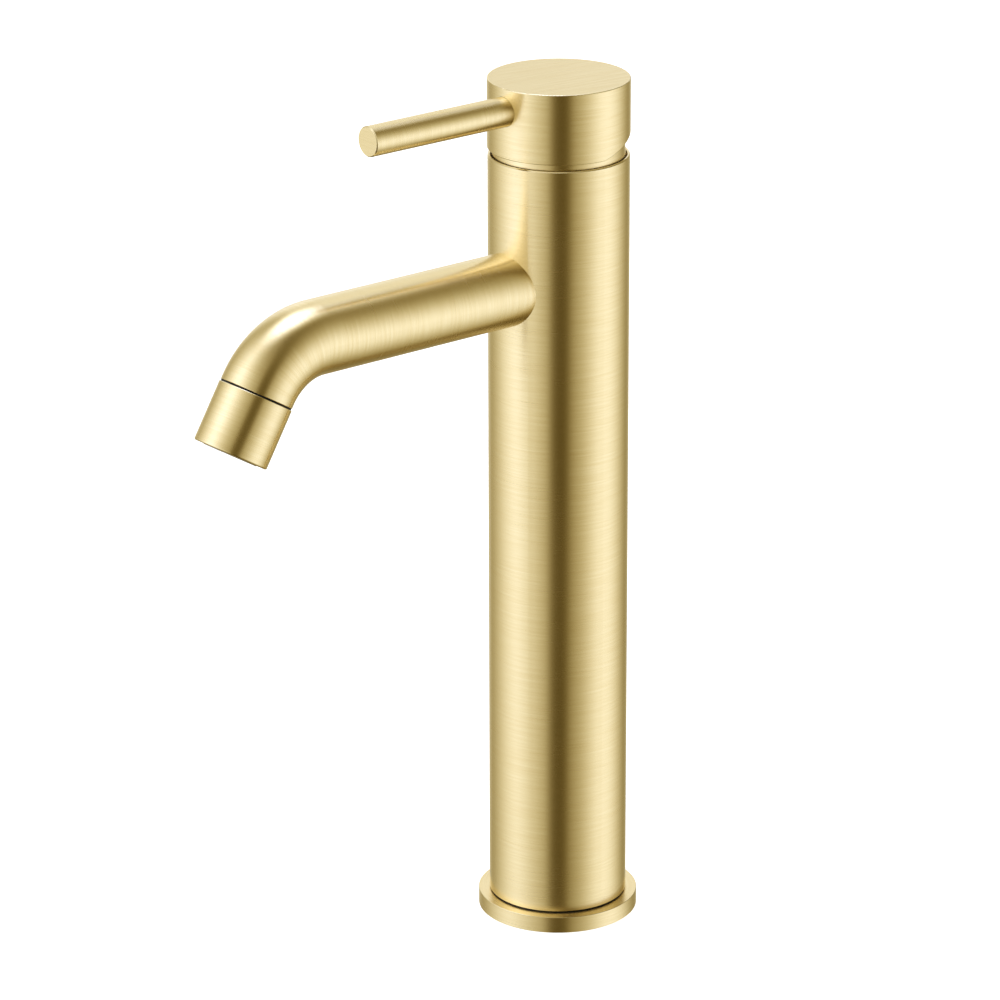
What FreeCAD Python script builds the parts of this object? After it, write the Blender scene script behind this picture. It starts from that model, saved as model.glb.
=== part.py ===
import FreeCAD, Part
import math
import os

# A tall single-lever basin mixer in brushed brass, in millimetres.
# The origin is on the column's axis, in the plane of the base's underside. +Z is up, and the
# spout and the lever point along -Y at rest. Hot is on -X and cold on +X.
# Threads are drawn as plain cylinders at their nominal size.

Vector = FreeCAD.Vector

# Column and foot
OVERALL_HEIGHT = 315.6
COLUMN_RADIUS = 25.15
COLUMN_BORE = 22.5
RIM_Z = 288.0
MOUTH_RADIUS = 24.2
MOUTH_DEPTH = 6.0
FLANGE_RADIUS = 29.2
FLANGE_HEIGHT = 6.15
FOOT_WASHER = 0.55
EDGE_BREAK = 0.35
FINE_BREAK = 0.15

# Spout
SPOUT_Z = 242.4
SPOUT_RADIUS = 13.2
NOZZLE_RADIUS = 13.4
SPOUT_BORE = 10.5
SPOUT_STRAIGHT = 108.9
BEND_RADIUS = 28.3
BEND_ANGLE = 59.0
SPOUT_SHANK = 1.4
JOINT_GAP = 0.7
SPOUT_TAIL = 24.0

# Handle
CAP_RADIUS = 25.3
CAP_WALL = 1.4
CAP_BOTTOM_Z = 290.4
CAP_BEVEL = 16.75
LEVER_RADIUS = 5.4
LEVER_Z = 307.25
LEVER_REACH = 84.9
LEVER_SOCKET = 3.0
STUD_RADIUS = 3.0
THREAD_PLAY = 0.05
THREAD_RUNOUT = 0.5

# Movement: the handle tilts about the X axis at the height of the column's rim, and the
# spindle leans half of the range to the front at rest.
PIVOT_Z = RIM_Z
TILT_RANGE = 20.0
SPINDLE_LEAN = TILT_RANGE / 2
SWIVEL_HALF_RANGE = 50.0
BALL_ARM = 13.5
DISC_OFFSET = BALL_ARM * math.sin(math.radians(SPINDLE_LEAN))

# Cartridge, from the bottom up
CARTRIDGE_RADIUS = 17.5
CARTRIDGE_PLAY = 0.1
CARTRIDGE_FLOOR_Z = 258.0
BASE_TOP_Z = 262.0
FIXED_DISC_Z = 263.0
LAPPED_Z = 267.0
CARRIER_Z = 270.5
CARRIER_TOP_Z = 275.3
ROTOR_BOTTOM_Z = 275.8
ROTOR_TOP_Z = 290.5
SHOULDER_Z = 280.0
NECK_TOP_Z = 291.0
NECK_RADIUS = 14.5
NECK_BORE = 12.5
CHAMBER_RADIUS = 15.1
DOME_RADIUS = 23.6

# Waterways
TUBE_X = 7.5
TUBE_Y = -4.0
TUBE_RADIUS = 5.0
TUBE_BORE = 4.0
DISC_PORT_X = 4.8
DISC_PORT_Y = -5.2
PLUG_BOTTOM_Z = 214.0
PLUG_TOP_Z = 222.0
PLUG_SEAL_Z = (PLUG_BOTTOM_Z + PLUG_TOP_Z) / 2
VALVE_BOTTOM_Z = 254.0
VALVE_TOP_Z = 284.0
FIT = 0.05
SEAL_GROOVE = 20.6

# Clearances, and the length by which a cutting shape passes the face that it cuts
SIDE_PLAY = 0.1
END_PLAY = 0.3
THROUGH = 1.0
TOUCHING = 0.01

# Fixing from below
STUD_PITCH = 26.0
FIXING_RADIUS = 4.0
PORT_DEPTH = 10.0
BLOCK_HEIGHT = 21.0


def cylinder(radius, low, high, x=0.0, y=0.0):
    """An upright cylinder between two heights."""
    return Part.makeCylinder(radius, high - low, Vector(x, y, low))


def ring(outer, inner, low, high, x=0.0, y=0.0):
    """An upright ring between two heights."""
    return cylinder(outer, low, high, x, y).cut(cylinder(inner, low - THROUGH, high + THROUGH, x, y))


def box(width, depth, low, high, x=0.0, y=0.0):
    """An upright box, centred on x and y."""
    return Part.makeBox(width, depth, high - low, Vector(x - width / 2, y - depth / 2, low))


def front_rod(radius, near, far, z):
    """A cylinder along -Y, between two distances in front of the column's axis."""
    return Part.makeCylinder(radius, far - near, Vector(0, -near, z), Vector(0, -1, 0))


def cross_rod(radius, half_length, z):
    """A cylinder along X, centred on the column's axis."""
    return Part.makeCylinder(radius, 2 * half_length, Vector(-half_length, 0, z), Vector(1, 0, 0))


def turned(outline):
    """A solid turned about the Z axis from an outline of (radius, height) points."""
    points = [Vector(radius, 0, height) for radius, height in outline]
    face = Part.Face(Part.makePolygon(points + points[:1]))
    return face.revolve(Vector(0, 0, 0), Vector(0, 0, 1), 360)


def rims(shape, radius, height):
    """The circular edges with this radius at this height."""
    found = []
    for edge in shape.Edges:
        if isinstance(edge.Curve, Part.Circle) and abs(edge.Curve.Radius - radius) < 1e-4:
            if abs(edge.Curve.Center.z - height) < 1e-4:
                found.append(edge)
    return found


def squeezed_ring(inner, outer, height, cord, x=0.0, y=0.0):
    """An O-ring of a round cord, squeezed flat between an inner and an outer face."""
    middle = (inner + outer) / 2
    torus = Part.makeTorus(middle, cord / 2, Vector(x, y, height))
    return torus.common(ring(outer, inner, height - cord, height + cord, x, y))


def holes_in_rows(radius, pitch, reach, low, high):
    """Round holes on a triangular grid, as far out as reach."""
    holes = []
    rows = int(reach / pitch) + 1
    for row in range(-rows, rows + 1):
        for column_index in range(-rows - 1, rows + 2):
            x = (column_index + 0.5 * (row % 2)) * pitch
            y = row * pitch * math.sqrt(3) / 2
            if math.hypot(x, y) <= reach:
                holes.append(cylinder(radius, low, high, x, y))
    return Part.makeCompound(holes)


def on_spindle(shape):
    """Leans a shape that is drawn upright on the pivot, as the spindle leans at rest."""
    leaned = shape.copy()
    leaned.rotate(Vector(0, 0, PIVOT_Z), Vector(1, 0, 0), SPINDLE_LEAN)
    return leaned


def bend_end():
    """The point where the spout's bend ends, and the direction in which water leaves."""
    turn = math.radians(BEND_ANGLE)
    y = -SPOUT_STRAIGHT - BEND_RADIUS * math.sin(turn)
    z = SPOUT_Z - BEND_RADIUS * (1 - math.cos(turn))
    return Vector(0, y, z), Vector(0, -math.cos(turn), -math.sin(turn))


def on_outlet(shape):
    """Moves a shape whose Z axis is the flow, measured from the bend's end, onto the spout."""
    point, flow = bend_end()
    moved = shape.copy()
    moved.Placement = FreeCAD.Placement(point, FreeCAD.Rotation(Vector(0, 0, 1), flow))
    return moved


# ---- Foot ----

LIP_RADIUS = 24.0
LIP_HEIGHT = 3.0
GASKET_OUTER = 27.8
GASKET_INNER = 25.2
GASKET_DEPTH = 2.0
TUBE_SEAT_Z = 13.0
FIXING_DEPTH = 14.0
FOOT_INSET = 0.6
FOOT_Z = FLANGE_HEIGHT + FOOT_WASHER
RING_PLAY = 0.15


def base_flange():
    """The foot ring, with a gasket groove and a lip below."""
    body = turned([
        (COLUMN_BORE + RING_PLAY, LIP_HEIGHT),
        (LIP_RADIUS + RING_PLAY, LIP_HEIGHT),
        (LIP_RADIUS + RING_PLAY, 0),
        (FLANGE_RADIUS - FINE_BREAK, 0),
        (FLANGE_RADIUS, FINE_BREAK),
        (FLANGE_RADIUS, FLANGE_HEIGHT - FINE_BREAK),
        (FLANGE_RADIUS - FINE_BREAK, FLANGE_HEIGHT),
        (COLUMN_BORE + RING_PLAY, FLANGE_HEIGHT),
    ])
    return body.cut(ring(GASKET_OUTER, GASKET_INNER, -THROUGH, GASKET_DEPTH))


def foot_washer():
    """The thin rubber ring between the flange and the column, set back to leave a dark seam."""
    return ring(COLUMN_RADIUS - FOOT_INSET, COLUMN_BORE + RING_PLAY, FLANGE_HEIGHT, FOOT_Z)


def base_gasket():
    """The flat rubber ring that seals the flange to the basin or worktop."""
    return ring(GASKET_OUTER, GASKET_INNER, 0, GASKET_DEPTH)


def base_block():
    """The plug in the column's foot, with two hose ports and two fixing holes."""
    block = cylinder(LIP_RADIUS, 0, LIP_HEIGHT).fuse(cylinder(COLUMN_BORE - FIT, 0, BLOCK_HEIGHT))
    for side in (-1, 1):
        x = side * TUBE_X
        block = block.cut(cylinder(TUBE_RADIUS, -THROUGH, PORT_DEPTH, x, TUBE_Y))
        block = block.cut(cylinder(TUBE_BORE, 0, BLOCK_HEIGHT, x, TUBE_Y))
        block = block.cut(cylinder(TUBE_RADIUS + FIT, TUBE_SEAT_Z, BLOCK_HEIGHT + THROUGH, x, TUBE_Y))
        block = block.cut(cylinder(FIXING_RADIUS, -THROUGH, FIXING_DEPTH, 0, side * STUD_PITCH / 2))
    return block.removeSplitter()


# ---- Column and waterways ----

BOSS_RADIUS = 8.2
BOSS_DEPTH = 6.0
TUBE_TOP_Z = 255.2
TUBE_SEAL_Z = 250.6
TUBE_SEAL_OUTER = 6.2
TUBE_SEAL_CORD = 1.5
FLOOR_PORT_RADIUS = 3.6
OUTLET_Y = 3.0
OUTLET_RADIUS = 4.6
BODY_SEAL_Z = 266.0
SEAL_CORD = 2.4
GROOVE_HALF_WIDTH = 1.4
TUBE_GROOVE_HALF_WIDTH = 0.9
NUT_THREAD_RADIUS = 19.0
PEG_X = 9.5
PEG_Y = 8.5
PEG_RADIUS = 1.8
PEG_LENGTH = 2.5


def column():
    """The tube that stands on the foot washer, open at the spout and widened at its mouth."""
    mouth_z = RIM_Z - MOUTH_DEPTH
    tube = turned([
        (COLUMN_BORE, FOOT_Z),
        (COLUMN_RADIUS - FINE_BREAK, FOOT_Z),
        (COLUMN_RADIUS, FOOT_Z + FINE_BREAK),
        (COLUMN_RADIUS, RIM_Z - EDGE_BREAK),
        (COLUMN_RADIUS - EDGE_BREAK, RIM_Z),
        (MOUTH_RADIUS + FINE_BREAK, RIM_Z),
        (MOUTH_RADIUS, RIM_Z - FINE_BREAK),
        (MOUTH_RADIUS, mouth_z),
        (COLUMN_BORE, mouth_z),
    ])
    return tube.cut(front_rod(SPOUT_BORE, 0, COLUMN_RADIUS + THROUGH, SPOUT_Z))


def inlet_tube(side):
    """A straight copper tube from the foot up into the valve body."""
    return ring(TUBE_RADIUS, TUBE_BORE, TUBE_SEAT_Z, TUBE_TOP_Z, side * TUBE_X, TUBE_Y)


def tube_seal(side):
    """The O-ring round one tube, inside its boss of the valve body."""
    x = side * TUBE_X
    return squeezed_ring(TUBE_RADIUS, TUBE_SEAL_OUTER, TUBE_SEAL_Z, TUBE_SEAL_CORD, x, TUBE_Y)


def chamber_plug():
    """The floor of the wet chamber behind the spout, brazed to both inlet tubes."""
    low = PLUG_SEAL_Z - GROOVE_HALF_WIDTH
    high = PLUG_SEAL_Z + GROOVE_HALF_WIDTH
    plug = cylinder(COLUMN_BORE - FIT, PLUG_BOTTOM_Z, PLUG_TOP_Z)
    plug = plug.cut(ring(COLUMN_RADIUS, SEAL_GROOVE, low, high))
    for side in (-1, 1):
        plug = plug.cut(cylinder(TUBE_RADIUS + FIT, 0, RIM_Z, side * TUBE_X, TUBE_Y))
    return plug


def plug_seal():
    """The O-ring between the plug and the column's bore."""
    return squeezed_ring(SEAL_GROOVE, COLUMN_BORE, PLUG_SEAL_Z, SEAL_CORD)


def valve_body():
    """The turned insert that holds the cartridge and feeds it from the two inlet tubes."""
    cartridge_bore = CARTRIDGE_RADIUS + CARTRIDGE_PLAY
    body = cylinder(COLUMN_BORE - FIT, VALVE_BOTTOM_Z, VALVE_TOP_Z)
    body = body.fuse(cylinder(MOUTH_RADIUS - SIDE_PLAY, RIM_Z - MOUTH_DEPTH, VALVE_TOP_Z))
    bosses = []
    for side in (-1, 1):
        low = VALVE_BOTTOM_Z - BOSS_DEPTH
        bosses.append(cylinder(BOSS_RADIUS, low, VALVE_BOTTOM_Z + THROUGH, side * TUBE_X, TUBE_Y))
    body = body.fuse(bosses)
    body = body.cut(cylinder(cartridge_bore, CARTRIDGE_FLOOR_Z, VALVE_TOP_Z + THROUGH))
    body = body.cut(cylinder(NUT_THREAD_RADIUS, SHOULDER_Z - THREAD_RUNOUT, VALVE_TOP_Z + THROUGH))
    groove_low = BODY_SEAL_Z - GROOVE_HALF_WIDTH
    groove_high = BODY_SEAL_Z + GROOVE_HALF_WIDTH
    body = body.cut(ring(COLUMN_RADIUS, SEAL_GROOVE, groove_low, groove_high))
    body = body.cut(cylinder(OUTLET_RADIUS, 0, RIM_Z, 0, OUTLET_Y))
    for side in (-1, 1):
        x = side * TUBE_X
        body = body.cut(cylinder(FLOOR_PORT_RADIUS, 0, RIM_Z, x, TUBE_Y))
        body = body.cut(cylinder(TUBE_RADIUS + FIT, 0, TUBE_TOP_Z + END_PLAY, x, TUBE_Y))
        seal_low = TUBE_SEAL_Z - TUBE_GROOVE_HALF_WIDTH
        seal_high = TUBE_SEAL_Z + TUBE_GROOVE_HALF_WIDTH
        body = body.cut(cylinder(TUBE_SEAL_OUTER, seal_low, seal_high, x, TUBE_Y))
        peg_low = CARTRIDGE_FLOOR_Z - PEG_LENGTH - END_PLAY
        body = body.cut(cylinder(PEG_RADIUS + SIDE_PLAY, peg_low, RIM_Z, side * PEG_X, PEG_Y))
    return body.removeSplitter()


def body_seal():
    """The O-ring between the valve body and the column's bore."""
    return squeezed_ring(SEAL_GROOVE, COLUMN_BORE, BODY_SEAL_Z, SEAL_CORD)


# ---- Spout and aerator ----

NIPPLE_RADIUS = 11.0
NIPPLE_BORE = 9.6
NIPPLE_LENGTH = 8.0
WASHER_THICKNESS = 2.0
AERATOR_RIM = 10.9
AERATOR_RIM_THICKNESS = 1.2
AERATOR_RADIUS = 9.8
AERATOR_PROUD = 0.25
AERATOR_BORE = 7.8
INSERT_RADIUS = 8.55
RESTRICTOR_THICKNESS = 2.4
JET_COUNT = 12
JET_CIRCLE = 5.6
JET_RADIUS = 0.6
GRID_THICKNESS = 1.4
GRID_HOLE_RADIUS = 0.8
GRID_HOLE_PITCH = 2.0
GRID_RIM = 0.4
SCREEN_THICKNESS = 0.4
SCREEN_START = 17.0
SCREEN_SPACING = 2.0
SCREEN_HOLE_RADIUS = 0.5
SCREEN_HOLE_PITCH = 1.6
NOZZLE_ROUNDING = 0.7
JOINT_INSET = 0.25
BEAD_RADIUS = 0.4
NIPPLE_END = SPOUT_SHANK + NIPPLE_LENGTH
AERATOR_TOP = NIPPLE_END + WASHER_THICKNESS
AERATOR_SEAT = AERATOR_TOP + AERATOR_RIM_THICKNESS


def spout_path(end):
    """The spout's centre line, from the column's axis to a distance past the bend."""
    start = Vector(0, 0, SPOUT_Z)
    bend_start = Vector(0, -SPOUT_STRAIGHT, SPOUT_Z)
    half_turn = math.radians(BEND_ANGLE / 2)
    middle_y = -SPOUT_STRAIGHT - BEND_RADIUS * math.sin(half_turn)
    middle_z = SPOUT_Z - BEND_RADIUS * (1 - math.cos(half_turn))
    point, flow = bend_end()
    arc = Part.Arc(bend_start, Vector(0, middle_y, middle_z), point)
    straight = Part.LineSegment(start, bend_start).toShape()
    tail = Part.LineSegment(point, point + flow * end).toShape()
    return Part.Wire([straight, arc.toShape(), tail])


def spout_sweep(radius, end):
    """A round bar along the spout's centre line."""
    circle = Part.makeCircle(radius, Vector(0, 0, SPOUT_Z), Vector(0, -1, 0))
    return spout_path(end).makePipeShell([Part.Wire(circle)], True, False)


def root_bead():
    """A thin bead of braze along the line where the spout meets the column."""
    skin = cylinder(COLUMN_RADIUS, SPOUT_Z - COLUMN_RADIUS, SPOUT_Z + COLUMN_RADIUS)
    stub = front_rod(SPOUT_RADIUS, 0, 2 * COLUMN_RADIUS, SPOUT_Z).cut(skin)
    seam = []
    for edge in stub.Edges:
        if edge.BoundBox.YMin > -COLUMN_RADIUS - THROUGH and edge.Length > SPOUT_RADIUS:
            seam.append(edge)
    wire = Part.Wire(Part.__sortEdges__(seam))
    start = wire.Edges[0].valueAt(wire.Edges[0].FirstParameter)
    along = wire.Edges[0].tangentAt(wire.Edges[0].FirstParameter)
    circle = Part.Wire(Part.makeCircle(BEAD_RADIUS, start, along))
    return wire.makePipeShell([circle], True, True)


def spout_tube():
    """The bent tube, mitred onto the column, with a threaded nipple for the nozzle."""
    nipple_root = SPOUT_SHANK - THROUGH
    point, flow = bend_end()
    shank_end = point + flow * SPOUT_SHANK
    outside = spout_sweep(SPOUT_RADIUS, SPOUT_SHANK)
    end_edges = []
    for edge in outside.Edges:
        if edge.CenterOfMass.distanceToPoint(shank_end) < TOUCHING:
            end_edges.append(edge)
    outside = outside.makeChamfer(FINE_BREAK, end_edges)
    nipple = on_outlet(cylinder(NIPPLE_RADIUS, nipple_root, NIPPLE_END))
    inside = spout_sweep(SPOUT_BORE, nipple_root)
    nipple_bore = on_outlet(cylinder(NIPPLE_BORE, nipple_root, NIPPLE_END + THROUGH))
    outside = outside.fuse(root_bead())
    tube = outside.fuse(nipple).cut(inside).cut(nipple_bore)
    return tube.cut(cylinder(COLUMN_RADIUS, 0, RIM_Z)).removeSplitter()


def nozzle():
    """The sleeve that screws onto the nipple and holds the aerator."""
    start = SPOUT_SHANK + JOINT_GAP
    bore = NIPPLE_RADIUS + FIT
    sleeve = turned([
        (bore, start),
        (NOZZLE_RADIUS - FINE_BREAK, start),
        (NOZZLE_RADIUS, start + FINE_BREAK),
        (NOZZLE_RADIUS, SPOUT_TAIL),
        (AERATOR_RADIUS + SIDE_PLAY, SPOUT_TAIL),
        (AERATOR_RADIUS + SIDE_PLAY, AERATOR_SEAT),
        (bore, AERATOR_SEAT),
    ])
    return on_outlet(sleeve.makeFillet(NOZZLE_ROUNDING, rims(sleeve, NOZZLE_RADIUS, SPOUT_TAIL)))


def joint_ring():
    """The rubber ring between the spout's end and the nozzle."""
    outer = SPOUT_RADIUS - JOINT_INSET
    inner = NIPPLE_RADIUS + FIT
    return on_outlet(ring(outer, inner, SPOUT_SHANK, SPOUT_SHANK + JOINT_GAP))


def aerator_washer():
    """The flat rubber ring between the nipple and the aerator."""
    return on_outlet(ring(AERATOR_RIM, INSERT_RADIUS, NIPPLE_END, AERATOR_TOP))


def aerator_housing():
    """The plastic cup of the aerator, with a ledge for the restrictor and one for the grid."""
    end = SPOUT_TAIL + AERATOR_PROUD
    grid_start = end - GRID_THICKNESS - AERATOR_PROUD
    cup = turned([
        (INSERT_RADIUS + FIT, AERATOR_TOP),
        (AERATOR_RIM, AERATOR_TOP),
        (AERATOR_RIM, AERATOR_SEAT),
        (AERATOR_RADIUS, AERATOR_SEAT),
        (AERATOR_RADIUS, end),
        (INSERT_RADIUS + FIT, end),
        (INSERT_RADIUS + FIT, grid_start),
        (AERATOR_BORE, grid_start),
        (AERATOR_BORE, AERATOR_TOP + RESTRICTOR_THICKNESS),
        (INSERT_RADIUS + FIT, AERATOR_TOP + RESTRICTOR_THICKNESS),
    ])
    return on_outlet(cup)


def flow_restrictor():
    """A disc with a ring of jets."""
    low = AERATOR_TOP
    high = low + RESTRICTOR_THICKNESS
    disc = cylinder(INSERT_RADIUS, low, high)
    jets = []
    for index in range(JET_COUNT):
        angle = 2 * math.pi * index / JET_COUNT
        x = JET_CIRCLE * math.cos(angle)
        y = JET_CIRCLE * math.sin(angle)
        jets.append(cylinder(JET_RADIUS, low - THROUGH, high + THROUGH, x, y))
    return on_outlet(disc.cut(Part.makeCompound(jets)))


def aerator_screens():
    """Two perforated screens, one behind the other in the cup."""
    screens = []
    for low in (SCREEN_START, SCREEN_START + SCREEN_SPACING):
        high = low + SCREEN_THICKNESS
        disc = cylinder(AERATOR_BORE - FIT, low, high)
        reach = AERATOR_BORE - SCREEN_HOLE_PITCH
        holes = holes_in_rows(SCREEN_HOLE_RADIUS, SCREEN_HOLE_PITCH, reach, low - THROUGH, high + THROUGH)
        screens.append(disc.cut(holes))
    return on_outlet(Part.makeCompound(screens))


def outlet_grid():
    """The honeycomb through which the water leaves."""
    high = SPOUT_TAIL
    low = high - GRID_THICKNESS
    disc = cylinder(INSERT_RADIUS, low, high)
    reach = INSERT_RADIUS - GRID_HOLE_RADIUS - GRID_RIM
    holes = holes_in_rows(GRID_HOLE_RADIUS, GRID_HOLE_PITCH, reach, low - THROUGH, high + THROUGH)
    return on_outlet(disc.cut(holes))


# ---- Cartridge ----

PORT_RADIUS = 2.0
CENTRE_PORT_RADIUS = 2.7
BASE_OUTLET_RADIUS = 4.2
PORT_SEAL_OUTER = 5.2
PORT_SEAL_INNER = 3.9
PORT_SEAL_HEIGHT = 1.2
CARTRIDGE_GROOVE = 16.2
CARTRIDGE_SEAL_Z = 260.0
CARTRIDGE_SEAL_CORD = 1.8
CARTRIDGE_GROOVE_HALF_WIDTH = 1.1
GASKET_RADIUS = 14.6
GASKET_PLAY = 0.2
FIXED_DISC_RADIUS = 15.0
MOVING_DISC_RADIUS = 11.5
CARRIER_RADIUS = 11.3
KEY_WIDTH = 2.8
KEY_DEPTH = 1.5
KEY_PLAY = 0.2
KEY_ROOT = 0.3
KEY_STEP = 0.4
ROTOR_PLAY = 0.08
ROTOR_RADIUS = NECK_BORE - ROTOR_PLAY
COLLAR_TOP_Z = 277.3
STOP_FLOOR_Z = 275.6
STOP_RADIUS = 14.0
STOP_TOP_Z = 277.5
COLLAR_RADIUS = STOP_RADIUS - END_PLAY
LUG_HALF_ANGLE = 8.0
STOP_PLAY_ANGLE = 0.6
RIM_PLAY = 0.3
GUIDE_X = 9.5
GUIDE_PLAY = 0.1
TONGUE_THICKNESS = 1.8
TONGUE_LENGTH = 12.0
TONGUE_LIFT = 0.5
UPPER_SLOT_LENGTH = 10.3
LOWER_SLOT_LENGTH = 9.6
SLOT_STEP_Z = 278.5
PIVOT_PIN_RADIUS = 1.5
PIN_PLAY = 0.03
ROTOR_PIN_FIT = 0.02
PIN_INSET = 0.4
SPINDLE_WIDTH = 8.0
SPINDLE_TOP = 23.0
EYE_RADIUS = 5.0
ARM_RADIUS = 2.2
BALL_RADIUS = 2.6
POCKET_FLOOR_Z = 271.6
NUT_HEAD_RADIUS = 21.3
NUT_TOP_Z = 289.2
NOTCH_WIDTH = 3.0
NOTCH_DEPTH = 2.4
DOME_TOP_Z = 294.5
DOME_SKIN = 1.2
DOME_LIFT = 0.2
DOME_BORE = 15.5
DRIVE_PEG_RADIUS = 1.2
DRIVE_PEG_LENGTH = 1.2
DRIVE_PEG_X = 7.5
MIXING_POCKET_RADIUS = 4.5
MIXING_POCKET_HALF_LENGTH = 6.0
MIXING_POCKET_DEPTH = 2.0


def port_holes(radius, low, high):
    """The hot and cold holes as the ceramic discs place them."""
    holes = []
    for side in (-1, 1):
        holes.append(cylinder(radius, low, high, side * DISC_PORT_X, DISC_PORT_Y))
    return Part.makeCompound(holes)


def sector(radius, half_angle, low, high):
    """A slice of a disc, symmetrical about the -Y direction."""
    slice_solid = Part.makeCylinder(
        radius, high - low, Vector(0, 0, low), Vector(0, 0, 1), 2 * half_angle)
    slice_solid.rotate(Vector(0, 0, 0), Vector(0, 0, 1), -90 - half_angle)
    return slice_solid


def cartridge_base():
    """The plastic floor of the cartridge, with its ports, its groove and two locating pegs."""
    base = cylinder(CARTRIDGE_RADIUS - CARTRIDGE_PLAY, CARTRIDGE_FLOOR_Z, BASE_TOP_Z)
    groove_low = CARTRIDGE_SEAL_Z - CARTRIDGE_GROOVE_HALF_WIDTH
    groove_high = CARTRIDGE_SEAL_Z + CARTRIDGE_GROOVE_HALF_WIDTH
    base = base.cut(ring(CARTRIDGE_RADIUS + THROUGH, CARTRIDGE_GROOVE, groove_low, groove_high))
    base = base.cut(port_holes(PORT_RADIUS, CARTRIDGE_FLOOR_Z + PORT_SEAL_HEIGHT, RIM_Z))
    base = base.cut(cylinder(BASE_OUTLET_RADIUS, 0, RIM_Z, 0, OUTLET_Y / 2))
    seat_top = CARTRIDGE_FLOOR_Z + PORT_SEAL_HEIGHT
    gallery_top = (seat_top + BASE_TOP_Z) / 2
    for side in (-1, 1):
        x = side * TUBE_X
        base = base.cut(cylinder(PORT_SEAL_OUTER, 0, seat_top, x, TUBE_Y))
        base = base.cut(cylinder(FLOOR_PORT_RADIUS, 0, gallery_top, x, TUBE_Y))
        peg_low = CARTRIDGE_FLOOR_Z - PEG_LENGTH
        base = base.fuse(cylinder(PEG_RADIUS, peg_low, BASE_TOP_Z, side * PEG_X, PEG_Y))
    return base.removeSplitter()


def cartridge_seal():
    """The O-ring round the cartridge's base, in the valve body's bore."""
    bore = CARTRIDGE_RADIUS + CARTRIDGE_PLAY
    return squeezed_ring(CARTRIDGE_GROOVE, bore, CARTRIDGE_SEAL_Z, CARTRIDGE_SEAL_CORD)


def port_seal(side):
    """The rubber ring under one inlet of the cartridge."""
    high = CARTRIDGE_FLOOR_Z + PORT_SEAL_HEIGHT
    return ring(PORT_SEAL_OUTER, PORT_SEAL_INNER, CARTRIDGE_FLOOR_Z, high, side * TUBE_X, TUBE_Y)


def disc_gasket():
    """The shaped rubber between the plastic base and the fixed disc."""
    gasket = cylinder(GASKET_RADIUS, BASE_TOP_Z, FIXED_DISC_Z)
    gasket = gasket.cut(port_holes(PORT_RADIUS + GASKET_PLAY, 0, RIM_Z))
    return gasket.cut(cylinder(CENTRE_PORT_RADIUS + GASKET_PLAY, 0, RIM_Z))


def fixed_disc():
    """The lower ceramic disc: two inlets, one outlet, and notches that stop it turning."""
    disc = cylinder(FIXED_DISC_RADIUS, FIXED_DISC_Z, LAPPED_Z)
    disc = disc.cut(port_holes(PORT_RADIUS, 0, RIM_Z))
    disc = disc.cut(cylinder(CENTRE_PORT_RADIUS, 0, RIM_Z))
    for side in (-1, 1):
        notch = box(2 * KEY_DEPTH, KEY_WIDTH + KEY_PLAY, 0, RIM_Z, side * FIXED_DISC_RADIUS)
        disc = disc.cut(notch)
    return disc


def moving_disc():
    """The upper ceramic disc, with the pocket that joins the ports, drawn closed."""
    disc = cylinder(MOVING_DISC_RADIUS, LAPPED_Z, CARRIER_Z)
    top = LAPPED_Z + MIXING_POCKET_DEPTH
    reach = MIXING_POCKET_HALF_LENGTH - MIXING_POCKET_RADIUS
    pocket = box(2 * MIXING_POCKET_RADIUS, 2 * reach, 0, top)
    for side in (-1, 1):
        pocket = pocket.fuse(cylinder(MIXING_POCKET_RADIUS, 0, top, 0, side * reach))
    disc = disc.cut(pocket)
    hole_floor = CARRIER_Z - DRIVE_PEG_LENGTH - END_PLAY
    for side in (-1, 1):
        hole = cylinder(DRIVE_PEG_RADIUS + FIT, hole_floor, RIM_Z, side * DRIVE_PEG_X)
        disc = disc.cut(hole)
    disc.translate(Vector(0, DISC_OFFSET, 0))
    return disc


def disc_carrier():
    """The slide that moves the upper disc: a ball socket, two guide flats, two drive pegs."""
    carrier = cylinder(CARRIER_RADIUS, CARRIER_Z, CARRIER_TOP_Z)
    carrier = carrier.common(box(2 * GUIDE_X, 4 * GUIDE_X, CARRIER_Z, CARRIER_TOP_Z))
    carrier = carrier.cut(cylinder(BALL_RADIUS + FIT, POCKET_FLOOR_Z, RIM_Z))
    for side in (-1, 1):
        peg_low = CARRIER_Z - DRIVE_PEG_LENGTH
        carrier = carrier.fuse(cylinder(DRIVE_PEG_RADIUS, peg_low, CARRIER_Z + THROUGH, side * DRIVE_PEG_X))
    carrier.translate(Vector(0, DISC_OFFSET, 0))
    return carrier.removeSplitter()


def cartridge_housing():
    """The plastic shell that holds the discs down, guides the rotor and stops its swivel."""
    shell = cylinder(CARTRIDGE_RADIUS, BASE_TOP_Z, SHOULDER_Z)
    shell = shell.fuse(cylinder(NECK_RADIUS, SHOULDER_Z - THROUGH, NECK_TOP_Z))
    shell = shell.cut(cylinder(CHAMBER_RADIUS, 0, STOP_FLOOR_Z))
    shell = shell.cut(cylinder(STOP_RADIUS, 0, STOP_TOP_Z))
    open_angle = SWIVEL_HALF_RANGE + LUG_HALF_ANGLE + STOP_PLAY_ANGLE
    shell = shell.cut(sector(CHAMBER_RADIUS, open_angle, STOP_FLOOR_Z - THROUGH, STOP_TOP_Z))
    shell = shell.cut(cylinder(NECK_BORE, 0, NECK_TOP_Z + THROUGH))
    for side in (-1, 1):
        middle = side * (CHAMBER_RADIUS - KEY_DEPTH / 2 + KEY_ROOT)
        shell = shell.fuse(box(KEY_DEPTH, KEY_WIDTH, FIXED_DISC_Z, LAPPED_Z - KEY_STEP, middle))
    return shell.removeSplitter()


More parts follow.
